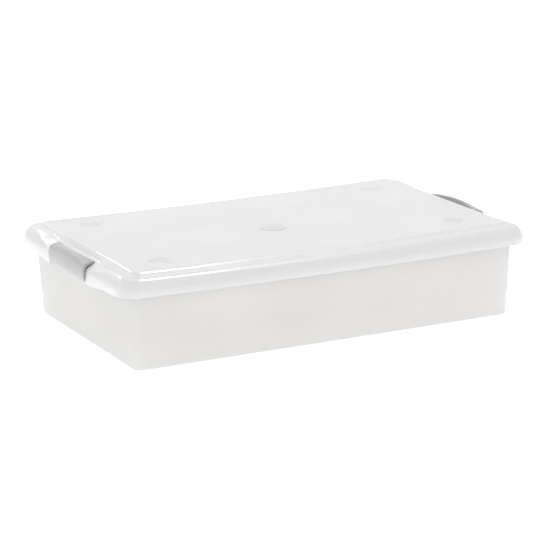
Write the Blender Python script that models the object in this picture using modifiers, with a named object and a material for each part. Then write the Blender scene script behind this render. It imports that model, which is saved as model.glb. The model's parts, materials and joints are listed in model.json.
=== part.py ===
"""Under bed box: a translucent tub on four small wheels, a lift-off lid and two swinging clip handles.

Units are metres, +Z is up and the box's long side runs along X. The origin is on the floor, under the
middle of the box. Every height is measured from the floor that the wheels stand on.
"""

import math

import bmesh
import bpy
from mathutils import Matrix, Vector

MM = 0.001

# Driving dimensions: tub
FLOOR_GAP = 4.0 * MM          # underside of the tub above the floor
BASE_HALF_X = 361.5 * MM      # half length and half width of the tub at its underside
BASE_HALF_Y = 217.5 * MM
DRAFT = 0.062                 # outward lean of every wall, per unit of height
TUB_WALL = 2.2 * MM
BASE_CORNER = 10.0 * MM       # upright corner radius at the base, and at the rim
RIM_CORNER = 21.0 * MM
# Rounded edge round the underside: (height above the underside, inset from the wall's line)
BASE_EDGE = ((0.0, 6.0 * MM), (1.4 * MM, 1.8 * MM), (5.0 * MM, 0.0))
RIM_LIP_Z = 146.5 * MM        # lower edge of the rim's turned-down lip
MID_WALL_Z = 80.0 * MM        # the corner radius is halfway between base and rim here
NECK_Z = 158.5 * MM           # the wall turns outwards into the rim from here
NECK_DROP = 4.0 * MM          # and this much lower beside the clips
ROLL_Z = 162.3 * MM
ROLL_DROP = 4.6 * MM
ROLL_OUT = 0.9 * MM

# Driving dimensions: lid
PANEL_HALF_X = 358.0 * MM     # flat top panel, to the crease at its edge
PANEL_HALF_Y = 215.0 * MM
PANEL_Z = 175.0 * MM
PANEL_CORNER = 12.0 * MM
LIP_CORNER = 33.0 * MM        # plan radius of the lid's outer lip
LID_WALL = 1.8 * MM
LID_DIP = 3.3 * MM            # how much lower the lid is at mid-length than at its ends
LIP_EDGE = 1.2 * MM           # the rim's last ring stands this much proud of the one above
RIM_GAP = 0.9 * MM            # between the lid's underside and the tub's rolled rim
RIM_EASE = (0.0, 0.9 * MM, 1.8 * MM)    # extra gap at the sides, the corners' ends and the clips
RIM_CORNER_RELIEF = 2.5 * MM  # the rim turns its corners this much wider than the lid does
END_REACH = 1.15              # the lip reaches this much further at the ends than at the sides

# Lid section from the panel's edge outwards: (reach beyond the panel, height), in millimetres
SIDE_SECTION = (
    (-1.0, 175.0), (0.6, 174.2), (2.6, 171.6), (7.0, 170.8), (12.0, 170.2), (15.0, 169.4),
    (17.0, 168.6), (19.2, 167.2), (23.6, 162.4), (27.0, 154.6), (28.8, 146.6), (29.6, 138.0),
)
CLIP_SECTION = (
    (-1.0, 175.0), (1.0, 173.8), (6.5, 166.6), (9.5, 165.2), (16.5, 163.6), (21.0, 161.6),
    (26.5, 158.4), (31.3, 154.2), (32.6, 148.8), (33.6, 143.0), (34.4, 136.5), (35.0, 130.0),
)
RIM_SIDE_STOPS = (6, 7, 8, 9)     # points of the lid's section that the tub's rolled rim follows
RIM_CLIP_STOPS = (4, 5, 6, 7)

# Driving dimensions: clips
CLIP_HALF_Y = 81.0 * MM
CLIP_WALL = 2.6 * MM
CLIP_TOP_Z = 167.5 * MM       # top of the hook at the clip's two ends
CLIP_ARCH = 4.5 * MM          # rise of the hook's top at mid-length
HOOK_X = 372.0 * MM           # inner edge of the hook at the clip's two ends
HOOK_SCALLOP = 10.0 * MM      # how far that edge is cut back at mid-length
HOOK_CLEARANCE = 0.9 * MM     # between the hook's turned-down edge and the lid
HOOK_LEAST = 0.8 * MM         # the turned-down edge is at least this tall
CLIP_HOOK = ((0.4, 0.5), (3.0, 0.0))            # (reach from the hook's edge, drop)
CLIP_CROWN = (391.0, 0.62, 0.8)   # x that the crown runs towards, how far it gets, and its drop
CLIP_SHOULDER = ((390.6, 3.6), (393.8, 9.2))    # (x, drop below the top), in millimetres
CLIP_SIDE = ((395.0, 149.0), (394.6, 141.0), (392.4, 135.0), (388.2, 131.8), (383.0, 131.9))
# Extra wall inwards at a clip's two ends, for each point of its section, in millimetres
END_RIB = (0.0, 0.3, 1.2, 3.2, 3.6, 2.4, 1.8, 5.0, 3.6, 1.6, 0.0)
BEAD_RISE = 1.3 * MM
BEAD_WIDTH = 2.0 * MM
BEAD_GAP = 0.6 * MM
HINGE_X = 382.0 * MM
HINGE_Z = 135.5 * MM
BARREL_RADIUS = 3.6 * MM
STUB_RADIUS = 2.0 * MM
STUB_LENGTH = 4.2 * MM
SOCKET_RADIUS = 2.3 * MM
EAR_START = 190.0 * MM        # the lid's end skirt grows from here towards the clip
EAR_END = 86.0 * MM
NOTCH_HALF_Y = 81.9 * MM
NOTCH_Z = 149.0 * MM
NOTCH_REACH = (-2.0 * MM, 20.0 * MM)    # from the hinge's axis, outwards
NOTCH_LOW_Z = 100.0 * MM
BRACKET_Y = 81.7 * MM
BRACKET_WIDTH = 4.0 * MM
BRACKET_NOSE = 5.2 * MM
BRACKET_ROOT = 1.0 * MM       # how far it is sunk into the wall
BRACKET_CREST = 1.0 * MM      # its top reaches this far beyond the hinge's axis
BRACKET_TOP_Z = 155.0 * MM

# Driving dimensions: wheels
WHEEL_X = 286.0 * MM
WHEEL_Y = 152.0 * MM
WHEEL_RADIUS = 13.0 * MM
WHEEL_WIDTH = 14.0 * MM
WHEEL_SIDES = 24
HUB_RADIUS = 4.2 * MM
WEB_RADII = (5.0 * MM, 9.0 * MM)        # the sunk ring between hub and tread
WEB_SINK = 2.5 * MM
TREAD_INNER = 10.0 * MM
TREAD_STEP = 0.6 * MM         # the tread's flank lies this far behind the hub's face
TREAD_ROUND = 1.2 * MM
AXLE_RADIUS = 1.5 * MM
AXLE_LENGTH = 25.4 * MM
BORE_RADIUS = 1.8 * MM
WELL_LENGTH = 34.0 * MM
WELL_WIDTH = 20.0 * MM
WELL_ROOF_Z = 29.0 * MM
WELL_CHEEK = 4.0 * MM         # cheeks that carry the axle
WELL_WALL = 2.0 * MM
WELL_INSET = 0.6 * MM         # the well's block starts this far above the underside
SEAT_PLAY = 0.3 * MM          # free length at each end of the axle
SLOT_WIDTH = 2.6 * MM         # snap-in neck below the axle seat

# Stacking dimples and plaque on the lid
DIMPLE_RADIUS = 19.0 * MM
DIMPLE_FLOOR = 11.5 * MM      # radius of its flat floor
DIMPLE_DEPTH = 2.6 * MM
PLAQUE_RADIUS = 24.0 * MM
PLAQUE_RISE = 0.7 * MM
PLAQUE_PLACE = (-0.012, -0.030)

# Divisions
ARC_STEPS = 7
LONG_STOPS = tuple(v * MM for v in (45, 115, 180, 240, 300))
SHORT_STOPS = tuple(v * MM for v in (86, 108, 134, 160))
CLIP_STOPS = tuple(v / 6 for v in range(-5, 6))
# A clip's last places along it: (share of its half width, share of its wall, share of the end rib)
CLIP_END_STOPS = ((0.966, 1.0, 0.0), (0.968, 1.0, 1.0), (0.985, 1.0, 1.0), (1.0, 0.55, 0.9))
ROD_STEPS = 16
DISH_STEPS = 32
PLAQUE_STEPS = 40


# ---------------------------------------------------------------- scene and materials

def clear_scene():
    for old in list(bpy.data.objects):
        bpy.data.objects.remove(old, do_unlink=True)
    for old in list(bpy.data.collections):
        bpy.data.collections.remove(old)


def new_collection(name):
    group = bpy.data.collections.new(name)
    bpy.context.scene.collection.children.link(group)
    return group


def surface(name, colour, roughness, metallic=0.0, alpha=1.0):
    material = bpy.data.materials.new(name)
    material.use_nodes = True
    shader = material.node_tree.nodes["Principled BSDF"]
    shader.inputs["Base Color"].default_value = (*colour, 1.0)
    shader.inputs["Roughness"].default_value = roughness
    shader.inputs["Metallic"].default_value = metallic
    shader.inputs["Alpha"].default_value = alpha
    return material


# ---------------------------------------------------------------- mesh helpers

def new_object(name, mesh, group, material=None):
    item = bpy.data.objects.new(name, mesh)
    group.objects.link(item)
    if material:
        mesh.materials.append(material)
    return item


def mesh_from(build):
    """Run build(bm) on a new bmesh and return the mesh, with its faces made consistent.

    An open surface has no outside of its own: build returns the direction that its fill faces.
    """
    bm = bmesh.new()
    facing = build(bm)
    bmesh.ops.recalc_face_normals(bm, faces=bm.faces)
    if facing:
        fill = max(bm.faces, key=lambda face: face.calc_area())
        if fill.normal.z * facing < 0:
            bmesh.ops.reverse_faces(bm, faces=bm.faces)
    mesh = bpy.data.meshes.new("mesh")
    bm.to_mesh(mesh)
    bm.free()
    return mesh


def smooth(item, angle=35):
    item.data.shade_smooth()
    item.data.set_sharp_from_angle(angle=math.radians(angle))


def make_cutter(name, mesh, group):
    item = new_object(name, mesh, group)
    item.hide_render = True
    item.display_type = "WIRE"
    return item


def boolean(item, other, operation):
    step = item.modifiers.new(other.name, "BOOLEAN")
    step.operation = operation
    step.solver = "EXACT"
    step.object = other
    return step


def box_mesh(low, high):
    size = [b - a for a, b in zip(low, high)]
    middle = [(a + b) / 2 for a, b in zip(low, high)]

    def build(bm):
        bmesh.ops.create_cube(bm, size=1.0)
        bmesh.ops.scale(bm, vec=size, verts=bm.verts)
        bmesh.ops.translate(bm, vec=middle, verts=bm.verts)

    return mesh_from(build)


def rod_mesh(radius, length):
    """A cylinder along Y, centred on the origin."""

    def build(bm):
        bmesh.ops.create_cone(
            bm, cap_ends=True, segments=ROD_STEPS, radius1=radius, radius2=radius, depth=length,
            matrix=Matrix.Rotation(math.pi / 2, 4, "X"),
        )

    return mesh_from(build)


def disc_mesh(low_radius, high_radius, low_z, high_z, steps=DISH_STEPS):
    """An upright disc or dish, round the Z axis."""

    def build(bm):
        bmesh.ops.create_cone(
            bm, cap_ends=True, segments=steps, radius1=low_radius, radius2=high_radius,
            depth=high_z - low_z,
            matrix=Matrix.Translation((0, 0, (low_z + high_z) / 2)),
        )

    return mesh_from(build)


def loft(bm, sections, caps=True):
    """Join closed sections of equal length into a tube, with end faces."""
    rows = [[bm.verts.new(point) for point in section] for section in sections]
    count = len(rows[0])
    for first, second in zip(rows, rows[1:]):
        for i in range(count):
            j = (i + 1) % count
            bm.faces.new((first[i], first[j], second[j], second[i]))
    if caps:
        bm.faces.new(rows[0])
        bm.faces.new(rows[-1])
    return rows


def closed_loft(bm, sections):
    loft(bm, sections)


# ---------------------------------------------------------------- sections and rings

def in_metres(section, reach=1.0):
    return [(out * reach * MM, z * MM) for out, z in section]


def offset_section(section, distance):
    """Move a section's points inwards, square to the section."""
    moved = []
    last = len(section) - 1
    for i, (out, z) in enumerate(section):
        before = Vector(section[max(i - 1, 0)])
        after = Vector(section[min(i + 1, last)])
        along = (after - before).normalized()
        moved.append((out + along.y * distance, z - along.x * distance))
    return moved


def blend(a, b, share):
    return a + (b - a) * share


def ear_share(y):
    """0 at the corners, 1 beside the clip, with an easy start and finish."""
    share = min(max((EAR_START - abs(y)) / (EAR_START - EAR_END), 0.0), 1.0)
    return share * share * (3 - 2 * share)


def dip(x):
    """How far the lid and rim lie below their height at the ends."""
    limit = PANEL_HALF_X - PANEL_CORNER
    return LID_DIP * (1 - (min(abs(x), limit) / limit) ** 2)


def ring(side, end, clip, radius, dip_share=1.0):
    """Points of one rounded rectangle.

    side is (half width, z) on the long sides; end is (half length, z) by the corners, and clip is
    the same at the middle of the short ends.
    """
    half_y, side_z = side
    half_x, end_z = end
    clip_x, clip_z = clip
    quarter = []
    for y in (0.0, *SHORT_STOPS):
        share = ear_share(y)
        quarter.append((blend(half_x, clip_x, share), y, blend(end_z, clip_z, share)))
    for step in range(ARC_STEPS + 1):
        share = step / ARC_STEPS
        angle = share * math.pi / 2
        x = half_x - radius + radius * math.cos(angle)
        y = half_y - radius + radius * math.sin(angle)
        quarter.append((x, y, blend(end_z, side_z, share)))
    for x in (*reversed(LONG_STOPS), 0.0):
        quarter.append((x, half_y, side_z))
    upper = quarter + [(-x, y, z) for x, y, z in reversed(quarter[:-1])]
    whole = upper + [(x, -y, z) for x, y, z in reversed(upper[1:-1])]
    return [(x, y, z - dip(x) * dip_share) for x, y, z in whole]


def lid_sections():
    side = in_metres(SIDE_SECTION)
    end = in_metres(SIDE_SECTION, END_REACH)
    clip = in_metres(CLIP_SECTION)
    return side, end, clip


def lid_corner(out):
    return PANEL_CORNER + (LIP_CORNER - PANEL_CORNER) * max(out, 0.0) / (SIDE_SECTION[-1][0] * MM)


def lid_rings():
    rings = []
    for side, end, clip in zip(*lid_sections()):
        rings.append(ring(
            (PANEL_HALF_Y + side[0], side[1]),
            (PANEL_HALF_X + end[0], end[1]),
            (PANEL_HALF_X + clip[0], clip[1]),
            lid_corner(side[0]),
        ))
    return rings


def wall_out(z):
    return DRAFT * (z - FLOOR_GAP)


def wall_ring(z, inset=0.0, radius=BASE_CORNER, dip_share=0.0, end_drop=0.0):
    """A ring on the tub's outer wall; end_drop lowers it beside the clips."""
    end = (BASE_HALF_X + wall_out(z) - inset, z)
    clip = (BASE_HALF_X + wall_out(z - end_drop) - inset, z - end_drop)
    return ring((BASE_HALF_Y + wall_out(z) - inset, z), end, clip, radius - inset / 2, dip_share)


def rim_rings():
    """The rolled rim's underside: the lid's section, moved in by both walls and the gap."""
    depth = LID_WALL + RIM_GAP + TUB_WALL
    sides, ends, clips = (
        offset_section(section, depth + ease) for section, ease in zip(lid_sections(), RIM_EASE)
    )
    stops = [
        (sides[i], ends[i], clips[j], lid_corner(SIDE_SECTION[i][0] * MM) - depth + RIM_CORNER_RELIEF)
        for i, j in zip(RIM_SIDE_STOPS, RIM_CLIP_STOPS)
    ]
    side, end, clip, radius = stops[-1]
    edge = [(out + LIP_EDGE, RIM_LIP_Z) for out, _ in (side, end, clip)]
    stops.append((*edge, radius + LIP_EDGE))
    return [
        ring(
            (PANEL_HALF_Y + side[0], side[1]),
            (PANEL_HALF_X + end[0], end[1]),
            (PANEL_HALF_X + clip[0], clip[1]),
            radius,
        )
        for side, end, clip, radius in stops
    ]


def fill_panel(bm, row):
    """Close a ring with strips across the width, so that each strip is flat."""
    top = [v for v in row if v.co.y > 0 and abs(v.co.x) <= LONG_STOPS[-1] + MM]
    bottom = [v for v in row if v.co.y < 0 and abs(v.co.x) <= LONG_STOPS[-1] + MM]
    top.sort(key=lambda v: v.co.x)
    bottom.sort(key=lambda v: v.co.x)
    for i in range(len(top) - 1):
        bm.faces.new((top[i], bottom[i], bottom[i + 1], top[i + 1]))
    for sign, near_top, near_bottom in ((1, top[-1], bottom[-1]), (-1, top[0], bottom[0])):
        side = [v for v in row if v.co.x * sign > LONG_STOPS[-1] + MM]
        side.sort(key=lambda v: math.atan2(v.co.y, v.co.x * sign))
        bm.faces.new((near_bottom, *side, near_top))


def shell(bm, rings, fill, facing):
    """An open cup of rings, closed at its first ring; facing is 1 if that end looks up, or -1."""
    rows = loft(bm, rings, caps=False)
    fill(bm, rows[0])
    return facing


def solidify(item, thickness, offset):
    step = item.modifiers.new("wall", "SOLIDIFY")
    step.thickness = thickness
    step.offset = offset
    step.use_even_offset = True
    return step


# ---------------------------------------------------------------- tub

def wheel_places():
    for name_x, sign_x in (("left", -1), ("right", 1)):
        for name_y, sign_y in (("front", -1), ("rear", 1)):
            yield f"{name_y}_{name_x}", sign_x * WHEEL_X, sign_y * WHEEL_Y


def tub_shell_mesh():
    rings = [wall_ring(FLOOR_GAP + rise, inset=inset) for rise, inset in BASE_EDGE]
    rings += [
        wall_ring(MID_WALL_Z, radius=(BASE_CORNER + RIM_CORNER) / 2),
        wall_ring(NECK_Z, radius=RIM_CORNER, dip_share=1.0, end_drop=NECK_DROP),
        wall_ring(ROLL_Z, inset=-ROLL_OUT, radius=RIM_CORNER, dip_share=1.0, end_drop=ROLL_DROP),
    ]
    rings += rim_rings()
    return mesh_from(lambda bm: shell(bm, rings, lambda b, row: b.faces.new(row), -1))


def well_cutters(group, tub):
    """Four wells in the floor: an outer block each, hollowed from below, with seats for the axle."""
    half_x = WELL_LENGTH / 2
    half_y = WELL_WIDTH / 2
    low_z = FLOOR_GAP + WELL_INSET
    for name, x, y in wheel_places():
        block = box_mesh(
            (x - half_x - WELL_WALL, y - half_y - WELL_CHEEK, low_z),
            (x + half_x + WELL_WALL, y + half_y + WELL_CHEEK, WELL_ROOF_Z + WELL_WALL),
        )
        boolean(tub, make_cutter(f"well_block_{name}", block, group), "UNION")
    for name, x, y in wheel_places():
        hollow = box_mesh(
            (x - half_x, y - half_y, -FLOOR_GAP),
            (x + half_x, y + half_y, WELL_ROOF_Z),
        )
        boolean(tub, make_cutter(f"well_hollow_{name}", hollow, group), "DIFFERENCE")
        bore = rod_mesh(BORE_RADIUS, AXLE_LENGTH + 2 * SEAT_PLAY)
        seat = make_cutter(f"axle_seat_{name}", bore, group)
        seat.location = (x, y, WHEEL_RADIUS)
        boolean(tub, seat, "DIFFERENCE")
        reach = AXLE_LENGTH / 2 + SEAT_PLAY
        neck = box_mesh(
            (x - SLOT_WIDTH / 2, y - reach, -FLOOR_GAP),
            (x + SLOT_WIDTH / 2, y + reach, WHEEL_RADIUS),
        )
        boolean(tub, make_cutter(f"axle_neck_{name}", neck, group), "DIFFERENCE")


def bracket_mesh(sign_x, sign_y):
    """A gusset under the rim that carries one end of a clip's hinge."""
    low_y = BRACKET_Y
    high_y = BRACKET_Y + BRACKET_WIDTH
    outline = [(BASE_HALF_X + wall_out(HINGE_Z) - BRACKET_ROOT, HINGE_Z - BRACKET_NOSE)]
    for step in range(7):
        angle = math.radians(-90 + 20 * step)
        reach_x = BRACKET_NOSE * math.cos(angle)
        reach_z = BRACKET_NOSE * math.sin(angle)
        outline.append((HINGE_X + reach_x, HINGE_Z + reach_z))
    outline.append((HINGE_X + BRACKET_CREST, BRACKET_TOP_Z))
    outline.append((BASE_HALF_X + wall_out(BRACKET_TOP_Z) - BRACKET_ROOT, BRACKET_TOP_Z))
    sections = [[(sign_x * x, sign_y * y, z) for x, z in outline] for y in (low_y, high_y)]
    return mesh_from(lambda bm: closed_loft(bm, sections))


def add_brackets(group, tub):
    for end, sign_x in (("left", -1), ("right", 1)):
        for side, sign_y in (("front", -1), ("rear", 1)):
            name = f"{end}_{side}"
            bracket = make_cutter(f"bracket_{name}", bracket_mesh(sign_x, sign_y), group)
            boolean(tub, bracket, "UNION")
            hole = rod_mesh(SOCKET_RADIUS, 3 * BRACKET_WIDTH)
            socket = make_cutter(f"socket_{name}", hole, group)
            socket.location = (sign_x * HINGE_X, sign_y * (BRACKET_Y + BRACKET_WIDTH / 2), HINGE_Z)
            boolean(tub, socket, "DIFFERENCE")


def make_tub(parts, cutters):
    frosted = surface("tub_plastic", (0.86, 0.87, 0.88), 0.38, alpha=0.6)
    tub = new_object("tub", tub_shell_mesh(), parts, frosted)
    solidify(tub, TUB_WALL, -1.0)
    well_cutters(cutters, tub)
    add_brackets(cutters, tub)
    smooth(tub)
    return tub


# ---------------------------------------------------------------- lid

def clip_section_height(out):
    """Height of the lid's end section at a reach beyond the panel."""
    section = in_metres(CLIP_SECTION)
    for (out_a, z_a), (out_b, z_b) in zip(section, section[1:]):
        if out_a <= out <= out_b:
            return blend(z_a, z_b, (out - out_a) / (out_b - out_a))
    return section[-1][1]


def arch(y):
    """1 at the middle of a clip, 0 at its ends."""
    return 1 - (y / CLIP_HALF_Y) ** 2


def lid_height(x):
    """Height of the lid's top beside a clip, at a distance along the box from its middle."""
    return clip_section_height(x - PANEL_HALF_X) - dip(x)


def hook_edge(y):
    return HOOK_X + HOOK_SCALLOP * arch(y)


def bead_mesh(sign_x):
    """A low bead on the lid that follows the scalloped edge of the closed clip."""
    sections = []
    for stop in CLIP_STOPS:
        y = stop * CLIP_HALF_Y
        outer = hook_edge(y) - BEAD_GAP
        inner = outer - BEAD_WIDTH
        foot = lid_height(outer) - LID_WALL / 2
        top = lid_height(inner) + BEAD_RISE
        chamfer = BEAD_GAP
        outline = (
            (inner, foot), (outer, foot), (outer, top - chamfer), (outer - chamfer, top),
            (inner + chamfer, top), (inner, top - chamfer),
        )
        sections.append([(sign_x * x, y, z) for x, z in outline])
    return mesh_from(lambda bm: closed_loft(bm, sections))


def make_lid(parts, cutters):
    mesh = mesh_from(lambda bm: shell(bm, lid_rings(), fill_panel, 1))
    frosted = surface("lid_plastic", (0.90, 0.91, 0.92), 0.32, alpha=0.6)
    lid = new_object("lid", mesh, parts, frosted)
    solidify(lid, LID_WALL, -1.0)
    for end, sign in (("left", -1), ("right", 1)):
        near, far = sorted(sign * (HINGE_X + reach) for reach in NOTCH_REACH)
        notch = box_mesh((near, -NOTCH_HALF_Y, NOTCH_LOW_Z), (far, NOTCH_HALF_Y, NOTCH_Z))
        boolean(lid, make_cutter(f"clip_notch_{end}", notch, cutters), "DIFFERENCE")
        boolean(lid, make_cutter(f"bead_{end}", bead_mesh(sign), cutters), "UNION")
    for name, x, y in wheel_places():
        top = PANEL_Z - dip(x)
        floor_z = top - DIMPLE_DEPTH
        cup_mesh = disc_mesh(
            DIMPLE_FLOOR + LID_WALL, DIMPLE_RADIUS + LID_WALL,
            floor_z - LID_WALL, top - LID_WALL / 2,
        )
        cup = make_cutter(f"dimple_cup_{name}", cup_mesh, cutters)
        cup.location = (x, y, 0)
        boolean(lid, cup, "UNION")
        # The dish's sides go on rising at the same slope, up to twice its depth.
        flare = 2 * DIMPLE_RADIUS - DIMPLE_FLOOR
        hollow_mesh = disc_mesh(DIMPLE_FLOOR, flare, floor_z, top + DIMPLE_DEPTH)
        hollow = make_cutter(f"dimple_hollow_{name}", hollow_mesh, cutters)
        hollow.location = (x, y, 0)
        boolean(lid, hollow, "DIFFERENCE")
    top = PANEL_Z - LID_DIP
    plaque_mesh = disc_mesh(
        PLAQUE_RADIUS, PLAQUE_RADIUS, top - LID_WALL / 2, top + PLAQUE_RISE, PLAQUE_STEPS,
    )
    plaque = make_cutter("plaque", plaque_mesh, cutters)
    plaque.location = (*PLAQUE_PLACE, 0)
    boolean(lid, plaque, "UNION")
    smooth(lid)
    return lid


# ---------------------------------------------------------------- clips

def clip_path(y):
    """Middle line of the clip's wall at one place along it, hook to hinge, from the hinge's axis."""
    half = CLIP_WALL / 2
    top = CLIP_TOP_Z + CLIP_ARCH * arch(y) - half
    hook = hook_edge(y) + half
    foot = min(lid_height(hook - half) + HOOK_CLEARANCE, top - HOOK_LEAST)
    crown_x, crown_share, crown_drop = CLIP_CROWN
    points = [(hook, foot)]
    points += [(hook + reach * MM, top - drop * MM) for reach, drop in CLIP_HOOK]
    points.append((blend(hook, crown_x * MM, crown_share), top - crown_drop * MM))
    points += [(x * MM, top - drop * MM) for x, drop in CLIP_SHOULDER]
    points += [(x * MM, z * MM) for x, z in CLIP_SIDE]
    return [(x - HINGE_X, z - HINGE_Z) for x, z in points]


def thick_outline(path, thickness, rib_share):
    """The clip's section; the ribs at its two ends are thicker inwards, down to the lid."""
    outer = offset_section(path, -thickness / 2)
    inner = []
    for i, extra in enumerate(END_RIB):
        depth = thickness / 2 + extra * MM * rib_share
        inner.append(offset_section(path, depth)[i])
    return outer + inner[::-1]


def make_clip(name, turn, parts, cutters, material):
    half = [(stop, 1.0, 0.0) for stop in CLIP_STOPS if stop > 0]
    half += CLIP_END_STOPS
    mirrored = [(-stop, share, rib) for stop, share, rib in reversed(half)]
    sections = []
    for stop, share, rib in (*mirrored, (0.0, 1.0, 0.0), *half):
        y = stop * CLIP_HALF_Y
        outline = thick_outline(clip_path(y), CLIP_WALL * share, rib)
        sections.append([(x, y, z) for x, z in outline])
    clip = new_object(name, mesh_from(lambda bm: closed_loft(bm, sections)), parts, material)
    place = Matrix.Rotation(turn, 4, "Z") @ Matrix.Translation((HINGE_X, 0, HINGE_Z))
    clip.matrix_world = place
    for part, radius, length in (
        ("barrel", BARREL_RADIUS, 2 * CLIP_HALF_Y),
        ("stubs", STUB_RADIUS, 2 * (CLIP_HALF_Y + STUB_LENGTH)),
    ):
        rod = make_cutter(f"{name}_{part}", rod_mesh(radius, length), cutters)
        rod.matrix_world = place
        boolean(clip, rod, "UNION")
    smooth(clip)
    return clip


# ---------------------------------------------------------------- wheels and axles

def wheel_mesh():
    """A turned wheel: hub, recessed web and rounded tread, about Y."""
    half = WHEEL_WIDTH / 2
    # The flats of the turned shape, not its corners, lie at the wheel's radius.
    grow = 1 / math.cos(math.pi / WHEEL_SIDES)
    profile = (
        (BORE_RADIUS, half), (HUB_RADIUS, half),
        *((radius, half - WEB_SINK) for radius in WEB_RADII),
        (TREAD_INNER, half - TREAD_STEP), (WHEEL_RADIUS - TREAD_ROUND, half - TREAD_STEP),
        (WHEEL_RADIUS, half - TREAD_STEP - TREAD_ROUND),
    )
    loop = [(r * grow, y) for r, y in profile]
    loop += [(r, -y) for r, y in reversed(loop)]
    mesh = bpy.data.meshes.new("wheel")
    bm = bmesh.new()
    verts = [bm.verts.new((r, 0, z)) for r, z in loop]
    edges = [bm.edges.new((verts[i], verts[(i + 1) % len(verts)])) for i in range(len(verts))]
    bmesh.ops.spin(
        bm, geom=verts + edges, axis=(0, 0, 1), cent=(0, 0, 0), angle=2 * math.pi,
        steps=WHEEL_SIDES, use_merge=True,
    )
    bmesh.ops.remove_doubles(bm, verts=bm.verts, dist=1e-6)
    turn = Matrix.Rotation(math.pi / 2, 4, "X") @ Matrix.Rotation(math.pi / WHEEL_SIDES, 4, "Z")
    bmesh.ops.transform(bm, matrix=turn, verts=bm.verts)
    bmesh.ops.recalc_face_normals(bm, faces=bm.faces)
    bm.to_mesh(mesh)
    bm.free()
    return mesh


def make_wheels(parts):
    wheel_material = surface("wheel_plastic", (0.35, 0.36, 0.37), 0.45)
    steel = surface("axle_steel", (0.62, 0.62, 0.63), 0.3, metallic=1.0)
    wheel = wheel_mesh()
    wheel.materials.append(wheel_material)
    axle = rod_mesh(AXLE_RADIUS, AXLE_LENGTH)
    axle.materials.append(steel)
    for name, x, y in wheel_places():
        for kind, mesh in (("wheel", wheel), ("axle", axle)):
            item = new_object(f"{name}_{kind}", mesh, parts)
            item.location = (x, y, WHEEL_RADIUS)
            smooth(item)


# ---------------------------------------------------------------- assembly

def main():
    clear_scene()
    parts = new_collection("under_bed_box")
    cutters = new_collection("cutters")
    make_tub(parts, cutters)
    make_lid(parts, cutters)
    grey = surface("clip_plastic", (0.46, 0.47, 0.48), 0.35)
    make_clip("right_clip", 0.0, parts, cutters, grey)
    make_clip("left_clip", math.pi, parts, cutters, grey)
    make_wheels(parts)
    bpy.context.view_layer.update()


main()
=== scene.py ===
import json
import math

import bpy
from mathutils import Matrix, Vector


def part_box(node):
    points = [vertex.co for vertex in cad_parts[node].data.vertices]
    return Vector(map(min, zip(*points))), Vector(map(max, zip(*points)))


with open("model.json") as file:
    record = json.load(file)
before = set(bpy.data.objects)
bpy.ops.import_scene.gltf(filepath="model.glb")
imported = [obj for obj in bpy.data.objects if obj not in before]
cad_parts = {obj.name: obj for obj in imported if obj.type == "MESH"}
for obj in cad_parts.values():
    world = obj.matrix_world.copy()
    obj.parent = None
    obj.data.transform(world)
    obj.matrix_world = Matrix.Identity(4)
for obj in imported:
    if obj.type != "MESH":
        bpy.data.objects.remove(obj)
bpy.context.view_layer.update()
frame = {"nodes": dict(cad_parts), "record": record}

# Camera: where it stands, how it is turned, and its lens
CAMERA_PLACE = (-1.8139, -3.7227, 1.1452)
CAMERA_YAW = 26.043
CAMERA_PITCH = 14.479
CAMERA_ROLL = -1.079
CAMERA_LENS = 155.6
SENSOR = 36.0

# Studio: world strength, floor glow, and each lamp's name, place, target, size, power and whether
# it lights the part evenly or only shows in its gloss
WORLD_STRENGTH = 0.93
FLOOR_GLOW = 0.50
LIGHTS = (
    ("overhead", (0.2, 0.6, 2.6), (0.2, 0.6, 0.0), (2.4, 1.6), 40.0, True),
    ("streak", (0.84, -1.38, 2.6), (0.84, -1.38, 0.0), (0.34, 0.30), 34.0, False),
    ("corner", (-0.93, 0.63, 2.6), (-0.93, 0.63, 0.0), (0.08, 0.08), 4.0, False),
    ("ridge", (-0.80, 2.40, 1.43), (-0.38, -0.16, 0.16), (1.6, 0.10), 6.0, False),
)

FLOOR_HALF = 12.0

# Surface finish
WELD_DISTANCE = 2e-6
SHARP_ANGLE = 32.0
EDGE_ROUND = 0.00035
PIN_ROUND = 0.0002
EDGE_STEPS = 2
NORMAL_WEIGHT = 50
COAT_ROUGHNESS = 0.05
PLASTIC_IOR = 1.49
FLOW_SCALE = 7.0
CLOUD_SCALE = 55.0
GRAIN_DEPTH = 0.0002
RING_SCALE = 900.0
RING_DEPTH = 0.0001

# Painted shade at the lid's thicker spots, its dimples and plaque, which let less light through
DIMPLE_RADIUS = 0.019
PLAQUE_RADIUS = 0.024
PLAQUE_PLACE = (-0.012, -0.030)
SPOT_EDGE = 0.004

# Heights between which the lid's skirt, in front of the tub's rim, gets painted shade, and the tub's
# foot painted light
SKIRT_SHADE_BAND = (0.171, 0.165)
FOOT_LIGHT_BAND = (0.060, 0.008)
SKIRT_PAINTED_SHADE = (0.81, 0.81, 0.81)
FOOT_PAINTED_LIGHT = (0.915, 0.91, 0.905)


# ---------------------------------------------------------------- mesh finish

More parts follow.
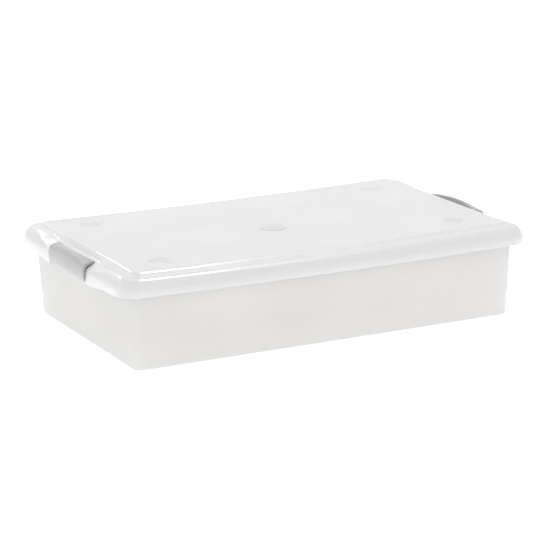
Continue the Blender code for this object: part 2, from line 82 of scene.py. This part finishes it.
def soften_group():
    """Welds a node's triangles, drops its flat normals and shades it smooth up to a sharp edge."""
    tree = bpy.data.node_groups.new("soften", "GeometryNodeTree")
    tree.interface.new_socket("Geometry", in_out="INPUT", socket_type="NodeSocketGeometry")
    tree.interface.new_socket("Geometry", in_out="OUTPUT", socket_type="NodeSocketGeometry")
    start = tree.nodes.new("NodeGroupInput")
    end = tree.nodes.new("NodeGroupOutput")
    plain = tree.nodes.new("GeometryNodeRemoveAttribute")
    plain.inputs["Name"].default_value = "custom_normal"
    weld = tree.nodes.new("GeometryNodeMergeByDistance")
    weld.inputs["Distance"].default_value = WELD_DISTANCE
    faces = tree.nodes.new("GeometryNodeSetShadeSmooth")
    faces.domain = "FACE"
    faces.inputs["Shade Smooth"].default_value = True
    edges = tree.nodes.new("GeometryNodeSetShadeSmooth")
    edges.domain = "EDGE"
    edges.inputs["Shade Smooth"].default_value = False
    angle = tree.nodes.new("GeometryNodeInputMeshEdgeAngle")
    sharp = tree.nodes.new("FunctionNodeCompare")
    sharp.data_type = "FLOAT"
    sharp.operation = "GREATER_THAN"
    sharp.inputs[1].default_value = math.radians(SHARP_ANGLE)
    link = tree.links.new
    link(start.outputs[0], plain.inputs["Geometry"])
    link(plain.outputs[0], weld.inputs["Geometry"])
    link(weld.outputs[0], faces.inputs["Geometry"])
    link(faces.outputs[0], edges.inputs["Geometry"])
    link(angle.outputs["Unsigned Angle"], sharp.inputs[0])
    link(sharp.outputs["Result"], edges.inputs["Selection"])
    link(edges.outputs[0], end.inputs[0])
    return tree


def finish_node(item, group, material, bevel):
    step = item.modifiers.new("soften", "NODES")
    step.node_group = group
    edge = item.modifiers.new("edge", "BEVEL")
    edge.width = bevel
    edge.segments = EDGE_STEPS
    edge.limit_method = "ANGLE"
    edge.angle_limit = math.radians(SHARP_ANGLE)
    level = item.modifiers.new("level", "WEIGHTED_NORMAL")
    level.mode = "FACE_AREA"
    level.weight = NORMAL_WEIGHT
    level.keep_sharp = True
    item.material_slots[0].material = material


# ---------------------------------------------------------------- materials

def add(tree, kind, **values):
    node = tree.nodes.new(kind)
    for key, value in values.items():
        if key in node.inputs:
            node.inputs[key].default_value = value
        else:
            setattr(node, key, value)
    return node


def noise(tree, coords, scale, detail):
    node = add(tree, "ShaderNodeTexNoise", Scale=scale, Detail=detail)
    tree.links.new(coords, node.inputs["Vector"])
    return node.outputs["Fac"]


def ramp(tree, source, low, high, start=0.3, stop=0.7):
    node = add(tree, "ShaderNodeMapRange")
    tree.links.new(source, node.inputs["Value"])
    node.inputs["From Min"].default_value = start
    node.inputs["From Max"].default_value = stop
    node.inputs["To Min"].default_value = low
    node.inputs["To Max"].default_value = high
    return node.outputs["Result"]


def tone(tree, source, dark, light):
    node = add(tree, "ShaderNodeMix", data_type="RGBA")
    tree.links.new(source, node.inputs["Factor"])
    first, second = [socket for socket in node.inputs if socket.type == "RGBA"]
    first.default_value = (*dark, 1.0)
    second.default_value = (*light, 1.0)
    return [socket for socket in node.outputs if socket.type == "RGBA"][0]


def bump(tree, height, strength, distance):
    node = add(tree, "ShaderNodeBump", Strength=strength, Distance=distance)
    tree.links.new(height, node.inputs["Height"])
    return node.outputs["Normal"]


def spot(tree, coords, place, radius, folded):
    """1 on a round spot that stands upright through the part, 0 outside it.

    A folded spot is repeated in all four quarters.
    """
    split = add(tree, "ShaderNodeSeparateXYZ")
    tree.links.new(coords, split.inputs[0])
    join = add(tree, "ShaderNodeCombineXYZ")
    for axis, middle in zip("XY", place):
        value = split.outputs[axis]
        if folded:
            fold = add(tree, "ShaderNodeMath", operation="ABSOLUTE")
            tree.links.new(value, fold.inputs[0])
            value = fold.outputs[0]
        shift = add(tree, "ShaderNodeMath", operation="SUBTRACT")
        tree.links.new(value, shift.inputs[0])
        shift.inputs[1].default_value = middle
        tree.links.new(shift.outputs[0], join.inputs[axis])
    reach = add(tree, "ShaderNodeVectorMath", operation="LENGTH")
    tree.links.new(join.outputs[0], reach.inputs[0])
    return ramp(tree, reach.outputs["Value"], 1.0, 0.0, radius - SPOT_EDGE, radius + SPOT_EDGE / 2)


# Paints shade into a colour under a mask
def darkened(tree, colour, mask, shade):
    node = add(tree, "ShaderNodeMix", data_type="RGBA", blend_type="MULTIPLY")
    tree.links.new(mask, node.inputs["Factor"])
    first, second = [socket for socket in node.inputs if socket.type == "RGBA"]
    tree.links.new(colour, first)
    second.default_value = (shade, shade, shade, 1.0)
    return [socket for socket in node.outputs if socket.type == "RGBA"][0]


# Used to paint shade or light into a colour by height
def banded(tree, colour, coords, band, target):
    """Runs a colour over to the target between two heights of the band, and on from there."""
    split = add(tree, "ShaderNodeSeparateXYZ")
    tree.links.new(coords, split.inputs[0])
    share = ramp(tree, split.outputs["Z"], 0.0, 1.0, *band)
    node = add(tree, "ShaderNodeMix", data_type="RGBA")
    tree.links.new(share, node.inputs["Factor"])
    first, second = [socket for socket in node.inputs if socket.type == "RGBA"]
    tree.links.new(colour, first)
    second.default_value = (*target, 1.0)
    return [socket for socket in node.outputs if socket.type == "RGBA"][0]


def moulded(
    name, dark, light, rough, grain, bump_strength,
    alpha=1.0, translucent=0.0, coat=0.0, painted_shade_spots=(), bands=(),
):
    """Moulded plastic: slow flow variation in its colour and gloss, and a fine grain on its surface."""
    material = bpy.data.materials.new(name)
    material.use_nodes = True
    tree = material.node_tree
    shader = tree.nodes["Principled BSDF"]
    output = tree.nodes["Material Output"]
    coords = add(tree, "ShaderNodeTexCoord").outputs["Object"]
    flow = noise(tree, coords, FLOW_SCALE, 4.0)
    cloud = noise(tree, coords, CLOUD_SCALE, 3.0)
    fine = noise(tree, coords, grain, 2.0)
    colour = tone(tree, ramp(tree, flow, 0.0, 1.0), dark, light)
    # each spot paints shade into the colour
    for place, radius, folded, shade in painted_shade_spots:
        colour = darkened(tree, colour, spot(tree, coords, place, radius, folded), shade)
    for band, target in bands:
        colour = banded(tree, colour, coords, band, target)
    tree.links.new(colour, shader.inputs["Base Color"])
    tree.links.new(ramp(tree, cloud, rough[0], rough[1]), shader.inputs["Roughness"])
    normal = bump(tree, fine, bump_strength, GRAIN_DEPTH)
    tree.links.new(normal, shader.inputs["Normal"])
    shader.inputs["IOR"].default_value = PLASTIC_IOR
    shader.inputs["Alpha"].default_value = alpha
    shader.inputs["Coat Weight"].default_value = coat
    shader.inputs["Coat Roughness"].default_value = COAT_ROUGHNESS
    if translucent:
        through = add(tree, "ShaderNodeBsdfTranslucent")
        tree.links.new(colour, through.inputs["Color"])
        mix = add(tree, "ShaderNodeMixShader", Fac=translucent)
        tree.links.new(shader.outputs[0], mix.inputs[1])
        tree.links.new(through.outputs[0], mix.inputs[2])
        tree.links.new(mix.outputs[0], output.inputs["Surface"])
    return material


def turned_steel(name):
    """A drawn steel pin: fine rings along its length."""
    material = bpy.data.materials.new(name)
    material.use_nodes = True
    tree = material.node_tree
    shader = tree.nodes["Principled BSDF"]
    coords = add(tree, "ShaderNodeTexCoord").outputs["Object"]
    rings = add(
        tree, "ShaderNodeTexWave", Scale=RING_SCALE, Distortion=1.5, bands_direction="Y",
    )
    tree.links.new(coords, rings.inputs["Vector"])
    tree.links.new(
        tone(tree, rings.outputs["Fac"], (0.50, 0.50, 0.51), (0.68, 0.68, 0.69)),
        shader.inputs["Base Color"],
    )
    tree.links.new(ramp(tree, rings.outputs["Fac"], 0.22, 0.38, 0.0, 1.0), shader.inputs["Roughness"])
    tree.links.new(bump(tree, rings.outputs["Fac"], 0.25, RING_DEPTH), shader.inputs["Normal"])
    shader.inputs["Metallic"].default_value = 1.0
    return material


# ---------------------------------------------------------------- stage

def make_floor():
    mesh = bpy.data.meshes.new("floor")
    corners = ((-1, -1), (1, -1), (1, 1), (-1, 1))
    mesh.from_pydata([(x * FLOOR_HALF, y * FLOOR_HALF, 0) for x, y in corners], [], [(0, 1, 2, 3)])
    floor = bpy.data.objects.new("floor", mesh)
    bpy.context.scene.collection.objects.link(floor)
    material = bpy.data.materials.new("floor")
    material.use_nodes = True
    shader = material.node_tree.nodes["Principled BSDF"]
    shader.inputs["Base Color"].default_value = (0.97, 0.97, 0.97, 1.0)
    shader.inputs["Roughness"].default_value = 0.9
    shader.inputs["Specular IOR Level"].default_value = 0.1
    shader.inputs["Emission Color"].default_value = (1.0, 1.0, 1.0, 1.0)
    shader.inputs["Emission Strength"].default_value = FLOOR_GLOW
    mesh.materials.append(material)


def area_light(name, place, target, size, power, even):
    data = bpy.data.lights.new(name, "AREA")
    data.shape = "RECTANGLE"
    data.size, data.size_y = size
    data.energy = power
    light = bpy.data.objects.new(name, data)
    light.visible_camera = False
    light.visible_diffuse = even
    light.visible_transmission = even
    light.visible_glossy = not even
    light.location = place
    light.rotation_euler = (Vector(target) - Vector(place)).to_track_quat("-Z", "Y").to_euler()
    bpy.context.scene.collection.objects.link(light)


def make_light():
    world = bpy.data.worlds.new("studio")
    bpy.context.scene.world = world
    world.use_nodes = True
    backdrop = world.node_tree.nodes["Background"]
    backdrop.inputs["Color"].default_value = (1.0, 1.0, 1.0, 1.0)
    backdrop.inputs["Strength"].default_value = WORLD_STRENGTH
    for light in LIGHTS:
        area_light(*light)
    bpy.context.scene.view_settings.view_transform = "Standard"


def make_camera():
    yaw, pitch, roll = (math.radians(v) for v in (CAMERA_YAW, CAMERA_PITCH, CAMERA_ROLL))
    forward = Vector((
        math.sin(yaw) * math.cos(pitch), math.cos(yaw) * math.cos(pitch), -math.sin(pitch)
    ))
    level_right = Vector((math.cos(yaw), -math.sin(yaw), 0))
    level_up = level_right.cross(forward)
    right = level_right * math.cos(roll) + level_up * math.sin(roll)
    up = level_up * math.cos(roll) - level_right * math.sin(roll)
    data = bpy.data.cameras.new("camera")
    data.lens = CAMERA_LENS
    data.sensor_width = SENSOR
    camera = bpy.data.objects.new("camera", data)
    bpy.context.scene.collection.objects.link(camera)
    turn = Matrix((right, up, -forward)).transposed().to_4x4()
    camera.matrix_world = Matrix.Translation(CAMERA_PLACE) @ turn
    bpy.context.scene.camera = camera


# ---------------------------------------------------------------- assembly

make_camera()
make_floor()
make_light()

wheel_low, wheel_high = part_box("rear_right_wheel")
WHEEL_PLACE = tuple((wheel_low[i] + wheel_high[i]) / 2 for i in range(2))

frosted_tub = moulded(
    "frosted_tub", (0.845, 0.84, 0.835), (0.885, 0.88, 0.875), (0.36, 0.46), 700.0, 0.05,
    # painted light: the tub's foot is lightened in its colour towards the floor
    alpha=0.86, translucent=0.45, bands=((FOOT_LIGHT_BAND, FOOT_PAINTED_LIGHT),),
)
frosted_lid = moulded(
    "frosted_lid", (0.80, 0.80, 0.80), (0.84, 0.84, 0.84), (0.28, 0.36), 700.0, 0.03,
    # painted shade: the lid's skirt below the panel edge is darkened in its colour
    alpha=0.955, translucent=0.30, coat=0.9, bands=((SKIRT_SHADE_BAND, SKIRT_PAINTED_SHADE),),
    # painted shade: the lid's colour is darkened at its four dimples and its plaque
    painted_shade_spots=((WHEEL_PLACE, DIMPLE_RADIUS, True, 0.93), (PLAQUE_PLACE, PLAQUE_RADIUS, False, 0.93)),
)
grey_clip = moulded(
    "grey_clip", (0.34, 0.34, 0.345), (0.38, 0.38, 0.385), (0.36, 0.46), 900.0, 0.15,
)
grey_wheel = moulded(
    "grey_wheel", (0.28, 0.285, 0.29), (0.33, 0.335, 0.34), (0.40, 0.52), 900.0, 0.2,
)
pin_steel = turned_steel("pin_steel")

FINISHES = {
    "tub_plastic": (frosted_tub, EDGE_ROUND),
    "lid_plastic": (frosted_lid, EDGE_ROUND),
    "clip_plastic": (grey_clip, EDGE_ROUND),
    "wheel_plastic": (grey_wheel, EDGE_ROUND),
    "axle_steel": (pin_steel, PIN_ROUND),
}
soften = soften_group()
for part in frame["record"]["subparts"]:
    surface, rounding = FINISHES[part["material_slot"]]
    finish_node(frame["nodes"][part["node"]], soften, surface, rounding)
